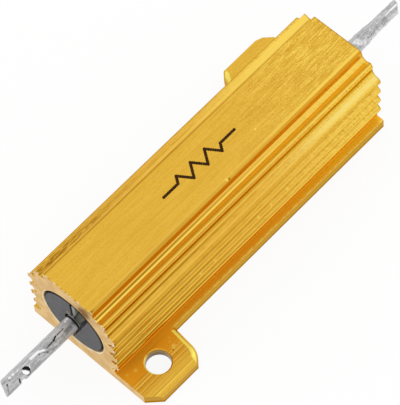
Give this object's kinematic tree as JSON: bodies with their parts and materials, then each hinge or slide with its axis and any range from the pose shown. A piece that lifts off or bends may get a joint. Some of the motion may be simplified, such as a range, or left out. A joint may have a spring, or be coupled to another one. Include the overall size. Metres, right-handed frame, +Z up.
{
  "type": "aluminium housed resistor",
  "caption": "Chassis-mount power resistor: a finned gold anodised aluminium housing with drilled lugs on opposite corners, a potted wound core and flat pierced solder leads.",
  "frame": {"origin": "centre of the mounting face, midway between the sawn ends of the housing", "axes": "+X along the leads, towards the right terminal; +Y across the body, towards the right lug; +Z up from the mounting face to the printed land"},
  "size_m": [0.0745, 0.027, 0.015],
  "materials": {
    "housing": "gold anodised extrusion with fine lines along its length",
    "core": "unglazed ceramic rod",
    "wire": "bare copper-nickel resistance wire",
    "cap": "pressed and plated steel",
    "terminal": "dull tinned, with press marks",
    "filling": "dark grey potting compound",
    "ink": "dark brown dotted ink"
  },
  "bodies": {
    "root": {"housing": "housing", "ceramic_core": "core", "resistance_winding": "wire", "left_end_cap": "cap", "right_end_cap": "cap", "left_terminal": "terminal", "right_terminal": "terminal", "filling_compound": "filling", "printed_mark": "ink"}
  },
  "joints": []
}
